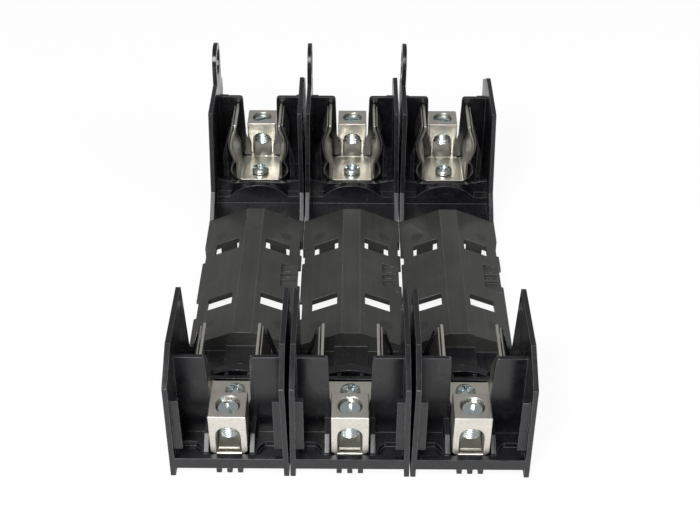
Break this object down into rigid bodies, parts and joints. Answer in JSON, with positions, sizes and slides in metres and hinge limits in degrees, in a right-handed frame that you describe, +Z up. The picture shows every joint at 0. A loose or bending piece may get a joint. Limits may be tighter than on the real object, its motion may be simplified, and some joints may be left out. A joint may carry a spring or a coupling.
{
  "type": "three-pole fuse block",
  "caption": "Open modular fuse block: moulded poles side by side, each with box lugs, spring clips for a cartridge fuse and a sprung rail latch.",
  "frame": {"origin": "middle of the base plane, between the feet of the middle pole", "axes": "+X across the poles to the right seen from the line end, +Y along the fuses to the load end, +Z up from the panel"},
  "size_m": [0.1076, 0.176, 0.0562],
  "materials": {
    "black_plastic": "moulded thermoplastic with a satin skin",
    "lug_aluminium": "tin-plated, sawn and tumbled",
    "zinc_screw": "clear zinc plated",
    "tinned_clip": "tin-plated copper alloy strip",
    "spring_steel": "rolled spring steel"
  },
  "bodies": {
    "block": {"left_base": "black_plastic", "left_latch_spring": "spring_steel", "left_line_lug": "lug_aluminium", "left_line_clip": "tinned_clip", "left_line_clip_spring": "spring_steel", "left_line_clip_screw": "zinc_screw", "left_line_clip_nut": "zinc_screw", "left_load_lug": "lug_aluminium", "left_load_clip": "tinned_clip", "left_load_clip_spring": "spring_steel", "left_load_clip_screw": "zinc_screw", "left_load_clip_nut": "zinc_screw", "middle_base": "black_plastic", "middle_latch_spring": "spring_steel", "middle_line_lug": "lug_aluminium", "middle_line_clip": "tinned_clip", "middle_line_clip_spring": "spring_steel", "middle_line_clip_screw": "zinc_screw", "middle_line_clip_nut": "zinc_screw", "middle_load_lug": "lug_aluminium", "middle_load_clip": "tinned_clip", "middle_load_clip_spring": "spring_steel", "middle_load_clip_screw": "zinc_screw", "middle_load_clip_nut": "zinc_screw", "right_base": "black_plastic", "right_latch_spring": "spring_steel", "right_line_lug": "lug_aluminium", "right_line_clip": "tinned_clip", "right_line_clip_spring": "spring_steel", "right_line_clip_screw": "zinc_screw", "right_line_clip_nut": "zinc_screw", "right_load_lug": "lug_aluminium", "right_load_clip": "tinned_clip", "right_load_clip_spring": "spring_steel", "right_load_clip_screw": "zinc_screw", "right_load_clip_nut": "zinc_screw"},
    "left_latch": {"left_rail_latch": "black_plastic"},
    "left_line_screw": {"left_line_lug_screw": "zinc_screw"},
    "left_load_screw": {"left_load_lug_screw": "zinc_screw"},
    "middle_latch": {"middle_rail_latch": "black_plastic"},
    "middle_line_screw": {"middle_line_lug_screw": "zinc_screw"},
    "middle_load_screw": {"middle_load_lug_screw": "zinc_screw"},
    "right_latch": {"right_rail_latch": "black_plastic"},
    "right_line_screw": {"right_line_lug_screw": "zinc_screw"},
    "right_load_screw": {"right_load_lug_screw": "zinc_screw"}
  },
  "joints": [
    {"name": "left_latch_pull", "type": "slide", "parent": "block", "child": "left_latch", "axis": [0, -1, 0], "range_m": [0, 0.0032], "stiffness_N_per_m": 300, "springref_m": -0.003, "deforming": ["left_latch_spring"]},
    {"name": "left_line_screw_drive", "type": "slide", "parent": "block", "child": "left_line_screw", "axis": [0, 0, 1], "range_m": [-0.0018, 0.004]},
    {"name": "left_load_screw_drive", "type": "slide", "parent": "block", "child": "left_load_screw", "axis": [0, 0, 1], "range_m": [-0.0018, 0.004]},
    {"name": "middle_latch_pull", "type": "slide", "parent": "block", "child": "middle_latch", "axis": [0, -1, 0], "range_m": [0, 0.0032], "stiffness_N_per_m": 300, "springref_m": -0.003, "deforming": ["middle_latch_spring"]},
    {"name": "middle_line_screw_drive", "type": "slide", "parent": "block", "child": "middle_line_screw", "axis": [0, 0, 1], "range_m": [-0.0018, 0.004]},
    {"name": "middle_load_screw_drive", "type": "slide", "parent": "block", "child": "middle_load_screw", "axis": [0, 0, 1], "range_m": [-0.0018, 0.004]},
    {"name": "right_latch_pull", "type": "slide", "parent": "block", "child": "right_latch", "axis": [0, -1, 0], "range_m": [0, 0.0032], "stiffness_N_per_m": 300, "springref_m": -0.003, "deforming": ["right_latch_spring"]},
    {"name": "right_line_screw_drive", "type": "slide", "parent": "block", "child": "right_line_screw", "axis": [0, 0, 1], "range_m": [-0.0018, 0.004]},
    {"name": "right_load_screw_drive", "type": "slide", "parent": "block", "child": "right_load_screw", "axis": [0, 0, 1], "range_m": [-0.0018, 0.004]}
  ]
}
